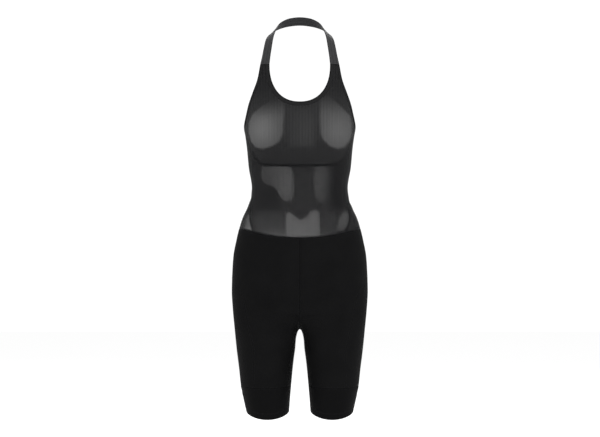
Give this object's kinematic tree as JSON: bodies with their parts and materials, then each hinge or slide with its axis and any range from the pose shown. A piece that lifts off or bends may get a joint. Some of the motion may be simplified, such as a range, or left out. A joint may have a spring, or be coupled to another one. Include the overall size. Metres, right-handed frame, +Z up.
{
  "type": "cycling bib shorts",
  "caption": "Halter-neck cycling bib shorts in worn form: sheer mesh bib on an elastic neck strap, close-fitting shorts with leg bands, hollow and open at neck, back and hems.",
  "frame": {"origin": "middle of the inner face of the neck strap at the nape, half way up its width", "axes": "+Z up along the worn garment, -Y out of the chest, +X towards the wearer's left"},
  "size_m": [0.3244, 0.2692, 0.9553],
  "materials": {
    "power_mesh": "sheer black ribbed warp-knit mesh",
    "jersey": "dense matt black stretch knit",
    "leg_band": "smooth black compression band",
    "binding": "folded black stretch binding",
    "elastic": "dark grey ribbed woven elastic with a soft sheen"
  },
  "bodies": {
    "root": {"neck_strap": "elastic", "bib_front": "power_mesh", "bib_back": "power_mesh", "neck_binding": "binding", "armhole_binding_left": "binding", "armhole_binding_right": "binding", "back_binding": "binding", "shorts_front_left": "jersey", "shorts_front_right": "jersey", "shorts_side_left": "jersey", "shorts_side_right": "jersey", "shorts_back_left": "jersey", "shorts_back_right": "jersey", "leg_band_left": "leg_band", "leg_band_right": "leg_band"}
  },
  "joints": []
}
